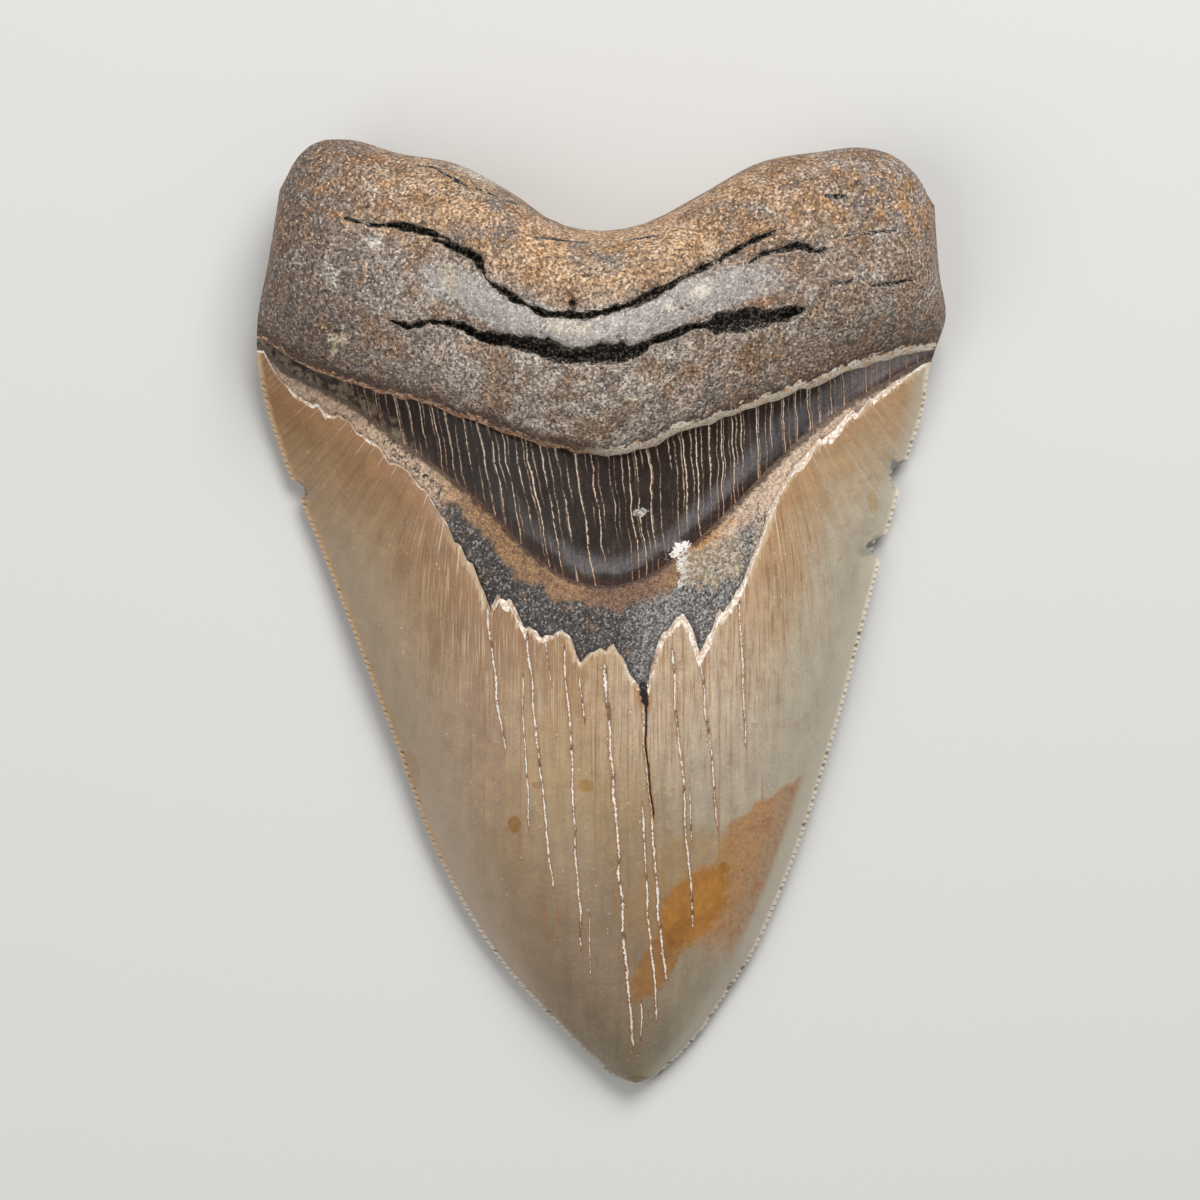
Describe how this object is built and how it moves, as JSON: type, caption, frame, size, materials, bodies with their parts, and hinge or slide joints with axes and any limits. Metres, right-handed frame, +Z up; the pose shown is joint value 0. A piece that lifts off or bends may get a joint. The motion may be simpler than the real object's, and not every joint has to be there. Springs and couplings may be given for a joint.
{
  "type": "megalodon tooth",
  "caption": "Broad triangular fossil shark tooth with a serrated crown, a chipped enamel edge, a dark band and a fissured two-lobed root, lying on its flat face.",
  "frame": {"origin": "on the surface that the tooth lies on, below the middle of its outline", "axes": "+Y from the tip of the crown to the root, +Z up from the flat labial face to the lingual face, +X to the right as seen from above with the root at the top"},
  "size_m": [0.0876, 0.1204, 0.0273],
  "materials": {
    "fossil": "glossy streaked tan enamel, satin dark band, dull porous grey-brown root"
  },
  "bodies": {
    "root": {"tooth": "fossil"}
  },
  "joints": []
}
